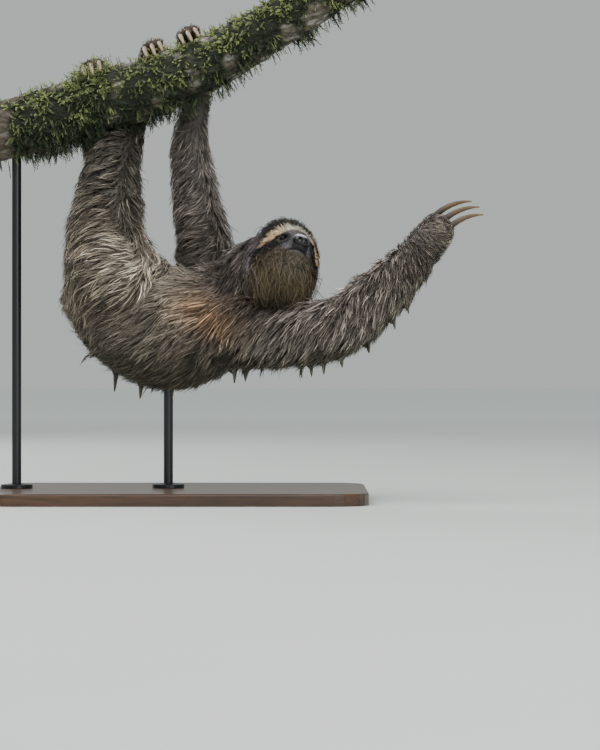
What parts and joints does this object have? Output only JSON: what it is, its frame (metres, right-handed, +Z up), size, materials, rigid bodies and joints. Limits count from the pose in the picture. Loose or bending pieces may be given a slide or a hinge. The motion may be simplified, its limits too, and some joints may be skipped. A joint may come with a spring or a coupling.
{
  "type": "three-toed sloth",
  "caption": "Life-size still model of a shaggy sloth that hangs back down from a mossy branch and reaches out with one long arm, on a stand.",
  "frame": {"origin": "middle of the stand's underside", "axes": "+Z up, +X from the rump towards the head and the reaching arm, -Y towards the animal's left side, which the head faces"},
  "size_m": [0.7618, 0.36, 0.8278],
  "materials": {
    "coat": "wet coarse hair, grey-brown",
    "coat_dark": "short wet hair, dark brown",
    "face": "short hair, pale brown",
    "claw": "smooth horn, cream to tan",
    "eye": "glossy dark brown",
    "nose": "moist black skin",
    "bark": "rough bark with moss",
    "stand_wood": "dark stain, satin",
    "stand_steel": "satin black"
  },
  "bodies": {
    "root": {"trunk_fore": "coat", "trunk_hind": "coat", "neck": "coat", "tail": "coat", "arm_left_upper": "coat", "arm_left_fore": "coat", "leg_left_thigh": "coat", "leg_left_shank": "coat", "arm_right_upper": "coat", "arm_right_fore": "coat", "leg_right_thigh": "coat", "leg_right_shank": "coat", "hand_left": "coat_dark", "hand_right": "coat_dark", "foot_left": "coat_dark", "foot_right": "coat_dark", "head": "face", "eye_left": "eye", "eye_right": "eye", "nose": "nose", "claw_hand_left_1": "claw", "claw_hand_left_2": "claw", "claw_hand_left_3": "claw", "claw_hand_right_1": "claw", "claw_hand_right_2": "claw", "claw_hand_right_3": "claw", "claw_foot_left_1": "claw", "claw_foot_left_2": "claw", "claw_foot_left_3": "claw", "claw_foot_right_1": "claw", "claw_foot_right_2": "claw", "claw_foot_right_3": "claw", "perch_branch": "bark", "stand_base": "stand_wood", "stand_rod_perch": "stand_steel", "stand_rod_body": "stand_steel"}
  },
  "joints": []
}
